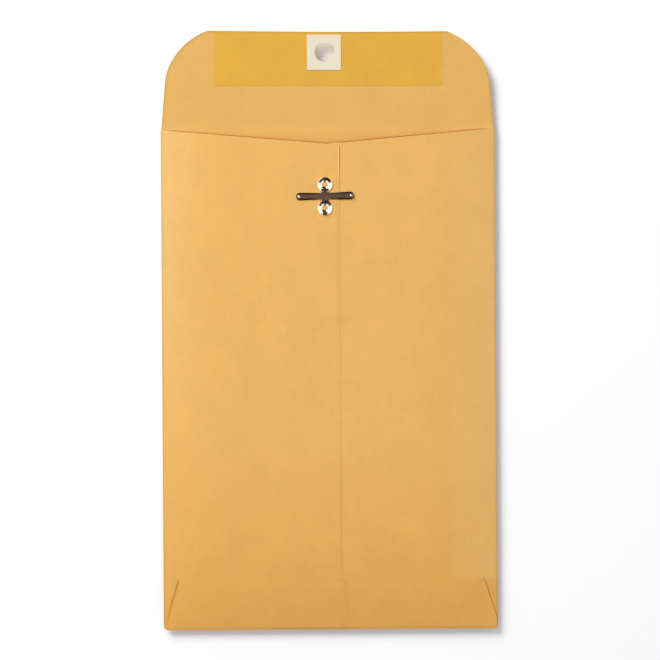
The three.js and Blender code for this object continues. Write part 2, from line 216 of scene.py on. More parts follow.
# How the sheets lie at their creases and cut edges
BEND_REACH = 0.7 * MM
SETTLE_REACH = 2 * MM  # a cut edge lies down on the sheet below within this distance
CUT_THINNING = 0.35  # how much thinner a pressed edge is than the sheet
GROOVE_DEPTH = 0.42 * MM  # beside the slanted edges of the bottom flap
GROOVE_WIDTH = 0.6 * MM
GROOVE_START = 0.1  # of the pocket's whole rise, at which a groove is whole
LEFT_LIP = 0.08 * MM  # how far those edges themselves stand up
RIGHT_LIP = 0.20 * MM
SIDE_LIP_REACH = 0.7 * MM
SIDE_LIP_START = (1 * MM, 5 * MM)  # above the bottom fold, from none to the whole lip
THROAT_DIP = 0.22 * MM  # of the back panel just beyond the side panels' top edges
THROAT_DIP_WIDTH = 0.55 * MM
THROAT_DIP_FADE = 12 * MM  # inside the pocket
THROAT_DIP_START = (0.5 * MM, 0.9 * MM)  # of those edges from the crease, for none and for all
MOUTH_WEAR = 0.03 * MM  # how much the side panels' top edges are worn down
MOUTH_WEAR_REACH = 0.2 * MM
# Shade is painted darker into the paper's colour near its edges, within this distance
EDGE_SHADE_REACH = 0.9 * MM  # how far in from its edges the paper is darker
SMOOTH_ANGLE = math.radians(45)

# Slow unevenness of the paper: (height, wavelength across, wavelength along)
WAVES = [(0.09 * MM, 90 * MM, 150 * MM), (0.035 * MM, 38 * MM, 60 * MM)]
WAVE_LEANS = (0.21, 0.17)
WAVE_PHASES = (1.3, 0.4)
WAVES_FROM_MOUTH = (4 * MM, 24 * MM)  # from none to the whole waves
WAVES_FROM_CLASP = (12 * MM, 26 * MM)
# Small creases in the paper beside the clasp: (from, to) from its middle, and how high they stand
CREASES = [
    ((-5.0 * MM, 3.0 * MM), (-5.2 * MM, 11.5 * MM), 0.05 * MM),
    ((-13.5 * MM, -3.7 * MM), (-8.6 * MM, -4.1 * MM), 0.06 * MM),
    ((-11.5 * MM, -5.0 * MM), (-7.0 * MM, -5.3 * MM), 0.05 * MM),
    ((4.4 * MM, 4.5 * MM), (4.9 * MM, 9.0 * MM), 0.05 * MM),
]
CREASE_HALF = 0.6 * MM
PUCKERS = 5  # around each eyelet
PUCKER_TURN = 0.7
PUCKER_HEIGHT = 0.13 * MM
PUCKER_START = (2.6 * MM, 4.2 * MM)  # from an eyelet's middle, from none to the whole height
PUCKER_REACH = 6 * MM  # and from there to none


# Heights of the sheets, for arrays of places in the envelope's own frame (Y from the bottom fold)


def rise(distance, width):
    share = np.clip(distance / width, 0, 1)
    return 1 - (1 - share) ** RISE_SHARPNESS


def ramp(value, low, high):
    return np.clip((value - low) / (high - low), 0, 1)


def eased(value, low, high):
    share = ramp(value, low, high)
    return share * share * (3 - 2 * share)


def bulge(x, y):
    return rise(HALF_WIDTH - np.abs(x), SIDE_RISE) * rise(y, BOTTOM_RISE)


def unevenness(x, y):
    """Slow waves that fade out at the folds, at the mouth and under the clasp."""
    total = np.zeros_like(x)
    for height, across, along in WAVES:
        u, v = x / across, y / along
        first = np.sin(2 * math.pi * (u + WAVE_LEANS[0] * v) + WAVE_PHASES[0])
        second = np.sin(2 * math.pi * (v - WAVE_LEANS[1] * u) + WAVE_PHASES[1])
        total += height * first * second
    away = np.hypot(x - CLASP_X, y - CLASP_Y)
    sides = eased(HALF_WIDTH - np.abs(x), 0, SIDE_RISE)
    ends = eased(y, 0, BOTTOM_RISE) * eased(BODY_LENGTH - y, *WAVES_FROM_MOUTH)
    return total * sides * ends * eased(away, *WAVES_FROM_CLASP)


def mouth_edge(x):
    """How far up the side panels reach at x."""
    slant = np.where(x < SEAM_X, HALF_WIDTH + x, HALF_WIDTH - x)
    return BODY_LENGTH - MOUTH_INSET - MOUTH_SLOPE * slant


def back_top(x, y):
    beyond = y - mouth_edge(x)
    dip = THROAT_DIP * (1 - eased(beyond, 0, THROAT_DIP_WIDTH)) * eased(beyond, -THROAT_DIP_FADE, 0)
    dip = dip * eased(BODY_LENGTH - mouth_edge(x), *THROAT_DIP_START)
    return CREASE_Z - HALF_GAP * bulge(x, y) * eased(BODY_LENGTH - y, 0, MOUTH_RISE) - dip


def back_floor(x, y):
    return back_top(x, y) - PAPER


def front_floor(x, y):
    return CREASE_Z + HALF_GAP * bulge(x, y) + unevenness(x, y)


def bottom_flap_left(y):
    """The left side of the bottom flap at a height above the bottom fold."""
    taper = BOTTOM_FLAP_LEFT_TAPER - BOTTOM_FLAP_FOOT_INSET
    return taper * y / BOTTOM_FLAP_HEIGHT - FOOT_HALF


def bottom_flap_right(y):
    taper = BOTTOM_FLAP_RIGHT_TAPER - BOTTOM_FLAP_FOOT_INSET
    above = np.maximum(y - BOTTOM_FLAP_RIGHT_SHOULDER, 0)
    return FOOT_HALF - taper * above / (BOTTOM_FLAP_HEIGHT - BOTTOM_FLAP_RIGHT_SHOULDER)


def beyond_bottom_flap(x, y):
    """How far a place lies outside the bottom flap's sides; less than 0 between them."""
    return np.maximum(bottom_flap_left(y) - x, x - bottom_flap_right(y))


def groove(x, y):
    """How far the side panels are pressed in beside the slanted edges of the bottom flap."""
    beyond = beyond_bottom_flap(x, y)
    across = eased(beyond, -SETTLE_REACH, 0) * (1 - eased(beyond, 0, GROOVE_WIDTH))
    along = 1 - eased(y, BOTTOM_FLAP_HEIGHT, BOTTOM_FLAP_HEIGHT + GROOVE_WIDTH)
    return GROOVE_DEPTH * across * along * ramp(bulge(x, y), 0, GROOVE_START)


def settled(distance):
    """How far a glued sheet comes down at a distance from its cut edge."""
    return (GLUE_FILM + LAYER_GAP) * (1 - eased(distance, 0, SETTLE_REACH))


def pressed_thickness(distance):
    return PAPER * (1 - CUT_THINNING * (1 - eased(distance, 0, SETTLE_REACH)))


def right_panel_floor(x, y):
    return front_floor(x, y) - groove(x, y)


def left_panel_floor(x, y):
    lift = LAYER_LIFT * ramp(x, SEAM_LEFT - SEAM_RAMP, SEAM_LEFT)
    free = eased(y, BODY_LENGTH - FREE_SEAM, BODY_LENGTH - FREE_SEAM / 2)
    curl = SEAM_CURL * ramp(x, SEAM_X - SEAM_CURL_REACH, SEAM_X) ** 2 * free
    return front_floor(x, y) + lift + curl - settled(SEAM_X - x) - groove(x, y)


def mouth_wear(x, y, outer):
    return MOUTH_WEAR * (1 - ramp(mouth(outer)(x) - y, 0, MOUTH_WEAR_REACH))


def right_panel_thickness(x, y):
    return PAPER - mouth_wear(x, y, HALF_WIDTH)


def left_panel_thickness(x, y):
    return pressed_thickness(SEAM_X - x) - mouth_wear(x, y, -HALF_WIDTH)


def bottom_flap_floor(x, y):
    over_seam = ramp(x, SEAM_LEFT - SEAM_RAMP, SEAM_LEFT)
    over_seam = over_seam - eased(x, SEAM_X, SEAM_X + BOTTOM_FLAP_RAMP)
    lift = (LAYER_LIFT + LAYER_LIFT * over_seam) * ramp(y, *BOTTOM_CLIMB)
    left_lip = LEFT_LIP * (1 - eased(x - bottom_flap_left(y), 0, SIDE_LIP_REACH))
    right_lip = RIGHT_LIP * (1 - eased(bottom_flap_right(y) - x, 0, SIDE_LIP_REACH))
    lip = (left_lip + right_lip) * eased(y, *SIDE_LIP_START)
    return front_floor(x, y) + lift + lip - settled(BOTTOM_FLAP_HEIGHT - y)


# Sheets


def steps_between(low, high, extra=()):
    """Even places from low to high, with some more where the shape needs them."""
    count = max(2, round((high - low) / MESH_STEP) + 1)
    inside = [value for value in extra if low < value < high]
    places = np.concatenate([np.linspace(low, high, count), inside])
    return np.unique(np.round(places, PLACE_DECIMALS))


def evenly(middle, step, count):
    """Places at even steps to both sides of a middle."""
    return [middle + k * step for k in range(-count, count + 1)]


def sheet_object(name, x, y, floor, thickness, place=None, from_edge=None):
    """A closed sheet over a grid of places. Its thickness is a number or a function of x and y.

    place turns envelope coordinates into the row frame; without it they are only moved along Y.
    from_edge is the distance of each place from the edges, along which shade is painted into the
    colour.
    """
    z = floor(x, y)
    top = z + (thickness(x, y) if callable(thickness) else thickness)
    rows, columns = x.shape
    low = np.stack([x, y, z], axis=-1).reshape(-1, 3)
    high = np.stack([x, y, top], axis=-1).reshape(-1, 3)
    layer = len(low)
    points = np.concatenate([low, high])
    points = place(points) if place else points + [0, BOTTOM_Y, 0]
    faces = []
    for j in range(rows - 1):
        for i in range(columns - 1):
            a = j * columns + i
            faces.append((a, a + columns, a + columns + 1, a + 1))
            faces.append((layer + a, layer + a + 1, layer + a + columns + 1, layer + a + columns))
    rim = np.concatenate([
        np.arange(columns),
        np.arange(1, rows) * columns + columns - 1,
        (rows - 1) * columns + np.arange(columns - 2, -1, -1),
        np.arange(rows - 2, 0, -1) * columns,
    ]).tolist()
    for a, b in zip(rim, rim[1:] + rim[:1]):
        faces.append((a, b, layer + b, layer + a))
    # painted shade along the edges: how much each point is darkened
    edge_shade = np.zeros(layer) if from_edge is None else 1 - ramp(from_edge, 0, EDGE_SHADE_REACH).ravel()
    return mesh_object(name, points, faces, np.tile(edge_shade, 2))


def mesh_object(name, points, faces, edge_shade=None):
    """A mesh whose doubled points are joined, smooth apart from its cut edges.

    The last argument is a share for each point of shade painted along the edges, which the
    materials read.
    """
    mesh = bpy.data.meshes.new(name)
    mesh.from_pydata([tuple(point) for point in points], [], faces)
    if edge_shade is not None:
        mesh.attributes.new("edge_shade", "FLOAT", "POINT").data.foreach_set("value", edge_shade)
    bm = bmesh.new()
    bm.from_mesh(mesh)
    bmesh.ops.remove_doubles(bm, verts=bm.verts, dist=JOIN_WITHIN)
    bmesh.ops.dissolve_degenerate(bm, edges=bm.edges, dist=DEGENERATE_BELOW)
    bm.to_mesh(mesh)
    bm.free()
    obj = bpy.data.objects.new(name, mesh)
    bpy.context.scene.collection.objects.link(obj)
    return smoothed(obj)


def smoothed(obj):
    obj.data.shade_smooth()
    obj.data.set_sharp_from_angle(angle=SMOOTH_ANGLE)
    return obj


def combined(obj, tool, operation):
    """Joins a mesh with another closed mesh, or cuts it with one. The other one is used up."""
    change = obj.modifiers.new("change", "BOOLEAN")
    change.operation = operation
    change.solver = "EXACT"
    change.object = tool
    bpy.context.view_layer.update()
    evaluated = obj.evaluated_get(bpy.context.evaluated_depsgraph_get())
    mesh = bpy.data.meshes.new_from_object(evaluated)
    obj.modifiers.clear()
    obj.data = mesh
    bpy.data.objects.remove(tool)
    return smoothed(obj)


def ruled_grid(us, vs, left, right, bottom, top):
    """Places of a sheet: rows from left(v) to right(v) and columns from bottom(x) to top(x)."""
    u, v = np.meshgrid(us, vs)
    x = left(v) + (right(v) - left(v)) * u
    y = bottom(x) + (top(x) - bottom(x)) * v
    return x, y


def shares(low, high, extra=()):
    places = steps_between(low, high, extra)
    return (places - low) / (high - low)


def constant(value):
    return lambda at: np.full_like(np.asarray(at, float), value)


def round_corner(x, bottom):
    """The lower edge of the body at x: straight, and turned up in the bottom corners."""
    radius = np.where(x < 0, LEFT_CORNER_RADIUS, RIGHT_CORNER_RADIUS)
    over = np.clip(np.abs(x) - (HALF_WIDTH - radius), 0, radius)
    return bottom + radius - np.sqrt(np.maximum(radius**2 - over**2, 0))


def near_edge(edge, reach=EDGE_CROWD, count=EDGE_CROWD_ROWS):
    """Places that crowd towards an edge, below it or, with a reach below 0, above it."""
    side = 1 if reach > 0 else -1
    return [edge - side * abs(reach) * (k / count) ** 2 for k in range(1, count + 1)]


def mouth(outer):
    return lambda x: BODY_LENGTH - MOUTH_INSET - MOUTH_SLOPE * np.abs(outer - x)


def back_sheet():
    folds = near_edge(HALF_WIDTH) + near_edge(-HALF_WIDTH, -EDGE_CROWD)
    us = shares(-HALF_WIDTH, HALF_WIDTH, folds)
    top = BODY_LENGTH - BEND_REACH
    throat = [top - k * THROAT_STEP for k in range(round(THROAT_REACH / THROAT_STEP))]
    vs = shares(0, top, near_edge(0, -EDGE_CROWD) + throat)
    left, right = constant(-HALF_WIDTH), constant(HALF_WIDTH)
    x, y = ruled_grid(us, vs, left, right, lambda x: round_corner(x, 0), constant(top))
    return sheet_object("back_sheet", x, y, back_floor, PAPER)


def side_sheet(name, outer, free, floor, thickness):
    low, high = min(outer, free), max(outer, free)
    margin = [outer - math.copysign(k * MARGIN_STEP, outer) for k in range(1, MARGIN_ROWS + 1)]
    seam = near_edge(SEAM_X, SETTLE_REACH, FINE_CROWD_ROWS)
    around = evenly(CLASP_X, PUCKER_STEP, PUCKER_ROWS[0])
    us = shares(low, high, [*margin, SEAM_LEFT, SEAM_LEFT - SEAM_RAMP, *seam, *around])
    edge_shaded = [BODY_LENGTH - k * MOUTH_WEAR_REACH / 2 for k in range(1, MOUTH_WEAR_ROWS + 1)]
    beside = evenly(CLASP_Y, PUCKER_STEP, PUCKER_ROWS[1])
    vs = shares(0, BODY_LENGTH, near_edge(0, -EDGE_CROWD) + edge_shaded + beside)
    foot = lambda x: round_corner(x, PANEL_BOTTOM)
    x, y = ruled_grid(us, vs, constant(low), constant(high), foot, mouth(outer))
    return sheet_object(name, x, y, puckered(floor), thickness, from_edge=HALF_WIDTH - np.abs(x))


def puckered(floor):
    """Small creases that the clinched eyelets pull into the paper around the clasp."""

    def height(x, y):
        total = floor(x, y)
        for side in (1, -1):
            dx, dy = x - CLASP_X, y - (CLASP_Y + side * EYELET_SPACING / 2)
            away = np.hypot(dx, dy)
            turn = np.arctan2(dy, dx)
            whole = PUCKER_START[1]
            ring = eased(away, *PUCKER_START) * (1 - eased(away, whole, whole + PUCKER_REACH))
            fold = 0.5 + 0.5 * np.cos(PUCKERS * turn + side * PUCKER_TURN)
            total = total - PUCKER_HEIGHT * ring * fold
        return total + sum(crease(x - CLASP_X, y - CLASP_Y, *line) for line in CREASES)

    return height


def crease(x, y, start, end, height):
    """A low straight ridge from start to end that fades out at both."""
    across, along = end[0] - start[0], end[1] - start[1]
    length = math.hypot(across, along)
    run = ((x - start[0]) * across + (y - start[1]) * along) / length
    beside = np.abs((x - start[0]) * along - (y - start[1]) * across) / length
    middle = np.clip(run * (length - run), 0, None) / (length / 2) ** 2
    return height * middle * np.clip(1 - beside / CREASE_HALF, 0, 1)


def bottom_sheet():
    margin = [FOOT_HALF - k * MARGIN_STEP for k in range(1, BOTTOM_MARGIN_ROWS + 1)]
    step_down = [SEAM_X + BOTTOM_FLAP_RAMP * k / RAMP_ROWS for k in range(RAMP_ROWS + 1)]
    us = shares(-FOOT_HALF, FOOT_HALF, [-x for x in margin] + margin + step_down)
    crowd = [*BOTTOM_CLIMB, BOTTOM_FLAP_RIGHT_SHOULDER, *near_edge(BOTTOM_FLAP_HEIGHT)]
    vs = shares(0, BOTTOM_FLAP_HEIGHT, crowd)
    x, y = ruled_grid(
        us, vs,
        lambda v: bottom_flap_left(v * BOTTOM_FLAP_HEIGHT),
        lambda v: bottom_flap_right(v * BOTTOM_FLAP_HEIGHT),
        lambda x: round_corner(x, 0),
        constant(BOTTOM_FLAP_HEIGHT),
    )
    return sheet_object("bottom_flap_sheet", x, y, bottom_flap_floor, PAPER)


def film(name, left, right, bottom, top, panel_floor):
    x, y = np.meshgrid(steps_between(left, right), steps_between(bottom, top))
    return sheet_object(name, x, y, lambda x, y: panel_floor(x, y) + PAPER + LAYER_GAP, GLUE_FILM)


# Seal flap: a flat sheet that leaves the pocket at the first crease


def on_strip(points):
    """Places beside the first crease, along the fold strip's plane."""
    turned = Matrix.Translation(FIRST_CREASE) @ Matrix.Rotation(CREASE_RISE, 4, "X")
    return transformed(points, turned)


def on_flap(points):
    """Places beside the first crease, along the flap's plane, which starts at the second one."""
    turned = Matrix.Translation(SECOND_CREASE) @ Matrix.Rotation(2 * CREASE_RISE, 4, "X")
    return transformed(points - [0, STRIP_LENGTH, 0], turned)


def transformed(points, matrix):
    m = np.array(matrix)
    return points @ m[:3, :3].T + m[:3, 3]


def flap_half(y):
    """Half of the flap's width at a distance from the first crease."""
    lean = (FLAP_ROOT_HALF - FLAP_SHOULDER_HALF) / FLAP_SHOULDER
    t = np.linspace(0, 1, CORNER_POINTS)
    xs = [
        FLAP_SHOULDER_HALF,
        FLAP_SHOULDER_HALF - lean * CORNER_PULL_SIDE,
        FLAP_TOP_HALF + CORNER_PULL_TOP * math.cos(CORNER_ANGLE),
        FLAP_TOP_HALF,
    ]
    ys = [
        FLAP_SHOULDER,
        FLAP_SHOULDER + CORNER_PULL_SIDE,
        FLAP_LENGTH - CORNER_PULL_TOP * math.sin(CORNER_ANGLE),
        FLAP_LENGTH,
    ]
    weights = [(1 - t) ** 3, 3 * (1 - t) ** 2 * t, 3 * (1 - t) * t**2, t**3]
    curve_x = sum(w * x for w, x in zip(weights, xs))
    curve_y = sum(w * y for w, y in zip(weights, ys))
    straight = FLAP_ROOT_HALF - lean * np.maximum(y, 0)
    return np.where(y < FLAP_SHOULDER, straight, np.interp(y, curve_y, curve_x))


def skewed(x, y):
    """Places on the flap, whose top edge sags a little and runs askew."""
    beyond = np.maximum(y - STRIP_LENGTH, 0) / (FLAP_LENGTH - STRIP_LENGTH)
    across = x / FLAP_TOP_HALF
    return x, y - beyond * (TIP_SKEW * across + TIP_SAG * np.maximum(1 - across**2, 0))


def from_tip(x, y):
    """How far a place that is already skewed lies below the flap's top edge."""
    return skewed(x, np.full_like(x, FLAP_LENGTH))[1] - y


def flap_grid(start, end, extra=()):
    vs = steps_between(start, end, extra)
    rim = [1 - EDGE_STEP / HALF_WIDTH * k for k in range(1, EDGE_ROWS + 1)]
    even = np.linspace(-1, 1, 2 * round(HALF_WIDTH / MESH_STEP) + 1)
    u, y = np.meshgrid(np.sort(np.concatenate([even, rim, [-u for u in rim]])), vs)
    return skewed(u * flap_half(y), y)


def level(height):
    """The floor of a sheet that lies flat at a height."""
    return lambda x, y: np.full_like(x, height)


def lower_strip():
    """The sheet around the first crease: the end of the back panel and half of the strip."""
    crowd = evenly(0, BEND_REACH / BEND_ROWS, BEND_ROWS)
    x, y = flap_grid(-BEND_REACH, STRIP_LENGTH / 2, crowd)

    def floor(x, y):
        return np.where(y < 0, back_floor(x, BODY_LENGTH + y) - CREASE_Z, -PAPER)

    def bent(points):
        beyond = points[:, 1] > 0
        return np.where(beyond[:, None], on_strip(points), points + np.array(FIRST_CREASE))

    return sheet_object("fold_strip_lower", x, y, floor, PAPER, bent, flap_half(y) - np.abs(x))


def flap_sheet():
    crowd = evenly(STRIP_LENGTH, UPPER_BEND_STEP, BEND_ROWS)
    crowd += near_edge(FLAP_LENGTH, EDGE_CROWD, FINE_CROWD_ROWS)[:-1]
    crowd += [FLAP_LENGTH - EDGE_STEP * k for k in range(1, EDGE_ROWS + 1)]
    x, y = flap_grid(STRIP_LENGTH / 2, FLAP_LENGTH, crowd)

    def bent(points):
        beyond = points[:, 1] > STRIP_LENGTH
        return np.where(beyond[:, None], on_flap(points), on_strip(points))

    from_edge = np.minimum(flap_half(y) - np.abs(x), from_tip(x, y))
    return pierced(sheet_object("seal_flap_sheet", x, y, level(-PAPER), PAPER, bent, from_edge))


def hole_centre():
    return Vector((HOLE_X, STRIP_LENGTH + HOLE_FROM_UPPER_CREASE, 0))


def pierced(obj):
    """Cuts the flap's hole through a sheet that is already in place."""
    mesh = bpy.data.meshes.new("hole_cutter")
    bm = bmesh.new()
    bmesh.ops.create_cone(
        bm, cap_ends=True, segments=ROUND_SEGMENTS,
        radius1=HOLE_RADIUS, radius2=HOLE_RADIUS, depth=CUTTER_LENGTH,
    )
    bm.to_mesh(mesh)
    bm.free()
    cutter = bpy.data.objects.new("hole_cutter", mesh)
    bpy.context.scene.collection.objects.link(cutter)
    centre = Vector(on_flap(np.array([hole_centre()]))[0])
    cutter.matrix_world = Matrix.Translation(centre) @ Matrix.Rotation(2 * CREASE_RISE, 4, "X")
    return combined(obj, cutter, "DIFFERENCE")


def gum_sheet():
    top = FLAP_LENGTH - GUM_TOP_INSET
    x, y = skewed(*np.meshgrid(
        steps_between(GUM_X - GUM_HALF, GUM_X + GUM_HALF),
        steps_between(GUM_START, top, [top - EDGE_STEP, top - 2 * EDGE_STEP]),
    ))
    film_sheet = sheet_object("gum_film", x, y, level(LAYER_GAP), GUM_FILM, on_flap, from_tip(x, y))
    return pierced(film_sheet)


def patch_sheet():
    centre = hole_centre() + Vector((PATCH_X, 0, 0))
    x, y = skewed(*np.meshgrid(
        steps_between(centre.x - PATCH_HALF[0], centre.x + PATCH_HALF[0]),
        steps_between(centre.y - PATCH_HALF[1], centre.y + PATCH_HALF[1]),
    ))
    under = level(2 * LAYER_GAP + GUM_FILM)
    return pierced(sheet_object("patch_board", x, y, under, PATCH_STOCK, on_flap))


# Clasp, around its middle on the front's face


def at_clasp(points):
    return points + [CLASP_X, BOTTOM_Y + CLASP_Y, CLASP_Z]


def turned_profile(name, profile, segments, y=0.0):
    """A closed ring or disc around an axis at y. The profile's points are (radius, height)."""
    turns = [2 * math.pi * k / segments for k in range(segments)]
    points = [(r * math.cos(t), r * math.sin(t) + y, z) for t in turns for r, z in profile]
    count = len(profile)
    closed = min(r for r, z in profile) > 0
    faces = []
    for k in range(segments):
        a, b = k * count, (k + 1) % segments * count
        for i in range(count if closed else count - 1):
            j = (i + 1) % count
            faces.append((a + i, a + j, b + j, b + i))
    return mesh_object(name, at_clasp(np.array(points)), faces)


def ellipse_points(middle, height, across, up, start, end, count):
    angles = np.linspace(math.radians(start), math.radians(end), count)
    return [(middle + across * math.cos(a), height + up * math.sin(a)) for a in angles]


def eyelet_ring(side):
    """A ring whose face slopes to its rim, its barrel through the paper and its clinched end."""
    wall = BARREL_BORE + BARREL_WALL
    under = -(2 * PAPER + GLUE_FILM + 4 * LAYER_GAP)
    turned = 90 - math.degrees(EYELET_SLOPE)
    rim, crest_z = EYELET_RADIUS - EYELET_RIM, EYELET_HEIGHT - EYELET_CREST
    face = rim - CREST_RADIUS
    drop = face * math.tan(EYELET_SLOPE)
    outermost = rim + EYELET_RIM * math.sin(EYELET_SLOPE)
    lowest = crest_z - drop + EYELET_RIM * math.cos(EYELET_SLOPE)
    up_face = [k / RING_STEPS for k in range(1, RING_STEPS)]
    curl, curl_across = (CLINCH_RADIUS + BARREL_BORE) / 2, (CLINCH_RADIUS - BARREL_BORE) / 2
    crest = (EYELET_CREST, EYELET_CREST, turned, CREST_TURN, RING_STEPS)
    profile = [
        *ellipse_points(rim, crest_z - drop, EYELET_RIM, EYELET_RIM, 0, turned, RING_STEPS),
        *[(outermost - face * share, lowest + drop * share) for share in up_face],
        *ellipse_points(CREST_RADIUS, crest_z, *crest),
        *ellipse_points(wall, BARREL_TOP, BARREL_WALL, BARREL_WALL, 90, 180, BARREL_STEPS),
        *ellipse_points(curl, under, curl_across, CLINCH_HEIGHT, 180, 360, CURL_STEPS),
        (wall, under),
        (wall, 0),
        (EYELET_RADIUS, 0),
    ]
    return turned_profile("eyelet_ring", profile[::-1], ROUND_SEGMENTS, side * EYELET_SPACING / 2)


def rolled(distance):
    """How far a face of a prong has dropped at a distance from its long edge."""
    return EDGE_DROP * np.clip(1 - distance / EDGE_ROLL, 0, 1) ** 2


def plate_half(y):
    """Half of the base plate's width at a distance along it from the prongs' line."""
    out = np.abs(y)
    narrowed = (HUB_HALF[0] - NECK_HALF) * eased(out, *NECK_SPAN)
    return HUB_HALF[0] - narrowed + NECK_FLARE * eased(out, HUB_HALF[1], TO_CREST)


def plate_thickness(x, y):
    """The base plate has punch marks in its hub, and climbs to the crests of the rings."""
    climb = (EYELET_HEIGHT - TIN) * eased(np.abs(y), CLIMB_START, TO_CREST)
    marks = sum(
        depth * np.clip(1 - ((x - across) ** 2 + (y - along) ** 2) / radius**2, 0, 1) ** 2
        for across, along, radius, depth in HUB_MARKS
    )
    return TIN + climb - marks


def clasp_base():
    rows = np.linspace(-TO_CREST, TO_CREST, round(2 * TO_CREST / METAL_STEP))
    u, y = np.meshgrid(np.linspace(-1, 1, PLATE_COLUMNS), rows)
    x = u * plate_half(y)
    base = sheet_object("clasp_base_metal", x, y, level(0), plate_thickness, at_clasp)
    for side in (1, -1):
        base = combined(base, eyelet_ring(side), "UNION")
    return base


def prong(name, side):
    """A prong along +X from its bend, with a root round underneath, rolled edges and a dimple."""
    bend = HUB_HALF[0] + PRONG_ROOT_GAP + TIN / 2
    middle = PRONG_LENGTH - PRONG_TIP_HALF
    root = -TIN / 2 * np.cos(np.linspace(0, math.pi / 2, ROOT_STEPS))
    straight = np.linspace(0, middle, round(middle / METAL_STEP))
    tip = middle + PRONG_TIP_HALF * np.sin(np.linspace(0, math.pi / 2, TIP_STEPS))
    rows = np.concatenate([root, straight[1:], tip[1:]])
    u, s = np.meshgrid(np.linspace(-1, 1, PRONG_COLUMNS), rows)
    widening = PRONG_ROOT_HALF + (PRONG_TIP_HALF - PRONG_ROOT_HALF) * np.clip(s / middle, 0, 1)
    past = np.clip(s - middle, 0, PRONG_TIP_HALF)
    half = np.where(s > middle, np.sqrt(np.maximum(PRONG_TIP_HALF**2 - past**2, 0)), widening)
    v = u * half
    into_root = np.clip(-s / (TIN / 2), 0, 1)
    top = TIN / 2 * (1 - into_root**ROOT_SQUARENESS) ** (1 / ROOT_SQUARENESS)
    under = TIN / 2 * np.sqrt(1 - into_root**2)
    from_dimple = np.hypot(s - PRONG_LENGTH + DIMPLE_INSET, v)
    dimple = DIMPLE_HEIGHT * np.maximum(1 - from_dimple**2 / DIMPLE_RADIUS**2, 0) ** DIMPLE_FALL
    drop = np.minimum(rolled(widening - np.abs(v)), under)
    arch = PRONG_CROWN * (1 - (v / widening) ** 2) * eased(s, 0, CROWN_START)
    low, high = arch + drop - under, arch + top - drop + dimple

    def placed(points):
        turn = PRONG_YAW[name] + (math.pi if side < 0 else 0)
        spot = Matrix.Translation((side * bend, 0, TIN / 2)) @ Matrix.Rotation(turn, 4, "Z")
        return at_clasp(transformed(points, spot))

    return sheet_object(
        f"prong_{name}_metal", s, v, lambda x, y: low, lambda x, y: high - low, placed
    )


def slug(name, side):
    """The disc of paper that an eyelet cut out, caught in its ring and pushed up in the middle."""
    radius = BARREL_BORE - SLUG_GAP
    low = SLUG_RISE - PAPER
    dome = ellipse_points(0, SLUG_RISE, radius, SLUG_CROWN, 0, 90, DOME_STEPS)
    profile = [(0, low), (radius, low), *dome[:-1], (0, SLUG_RISE + SLUG_CROWN)]
    place = side * EYELET_SPACING / 2
    return turned_profile(f"eyelet_disc_{name}", profile[::-1], SLUG_SEGMENTS, place)


# Materials


def linear(red, green, blue):
    """A colour given as 8-bit sRGB, in linear light."""
    def one(value):
        share = value / 255
        return share / 12.92 if share <= 0.04045 else ((share + 0.055) / 1.055) ** 2.4
    return (one(red), one(green), one(blue), 1)


KRAFT_COLOUR = linear(234, 179, 93)
KRAFT_END_COLOUR = linear(228, 167, 77)  # at the bottom fold
# Paler, less saturated kraft painted along the side folds: a painted sheen
KRAFT_PAINTED_SHEEN_COLOUR = linear(235, 185, 106)  # along the side folds
KRAFT_INNER_COLOUR = linear(229, 177, 91)  # of the face that the open flap shows
GUM_COLOUR = linear(229, 173, 55)
BOARD_COLOUR = linear(239, 226, 197)
GLUE_DARK = linear(226, 205, 160)
GLUE_PALE = linear(238, 222, 184)
METAL_DARK = (0.50, 0.44, 0.35, 1)
METAL_PALE = (0.62, 0.56, 0.46, 1)
BLACK = (0, 0, 0, 1)
WHITE = (1, 1, 1, 1)

# Roughness and sheen. Each pair is for the two ends of the noise or share that it follows
KRAFT_ROUGHNESS = (0.53, 0.63)
GUM_ROUGHNESS = (0.6, 0.46)  # of the paper, and of the coating
BOARD_ROUGHNESS = 0.7
GLUE_ROUGHNESS = 0.5
METAL_ROUGHNESS = (0.10, 0.17)
PLAIN_SHEEN = 0.5
GUM_SHEEN = 0.45
BOARD_SHEEN = 0.3

# Grain. The spans are of a noise's values, and a bump is its depth and its strength
CLOUD_SPAN = (0.3, 0.7)
GRAIN_SPAN = (0.25, 0.75)
NOISE_ROUGHNESS = 0.55
FIBRE_TURNS = (math.radians(14), math.radians(-21))
FLOCK_STRENGTH = 0.012
FIBRE_STRENGTH = 0.018
LINE_STRENGTH = 0.006
FLECK_SPAN = (0.70, 0.76)
FLECK_SHARE = 0.16
FLECK_COLOUR = (0.36, 0.17, 0.05, 1)
FIBRE_BUMP = (0.02 * MM, 0.5)
CROSSING_SHARE = 0.8  # of the second fibres, against the first, in that bump
GLUE_BUMP = (0.02 * MM, 0.5)
CLOUD_BUMP = (0.05 * MM, 0.6)
METAL_BUMP = (0.004 * MM, 0.35)
# how dark the shade painted along the edges gets
EDGE_DARKENING = 0.28

# Where kraft changes colour, in the row frame: each pair goes from none to the whole
DEEPER_TOWARDS_END = (BOTTOM_Y + 90 * MM, BOTTOM_Y + 8 * MM)
INNER_FACE_FROM = (FIRST_CREASE.y, FIRST_CREASE.y + 2 * MM)
UNCOVERED_Y = BOTTOM_Y + BOTTOM_FLAP_HEIGHT
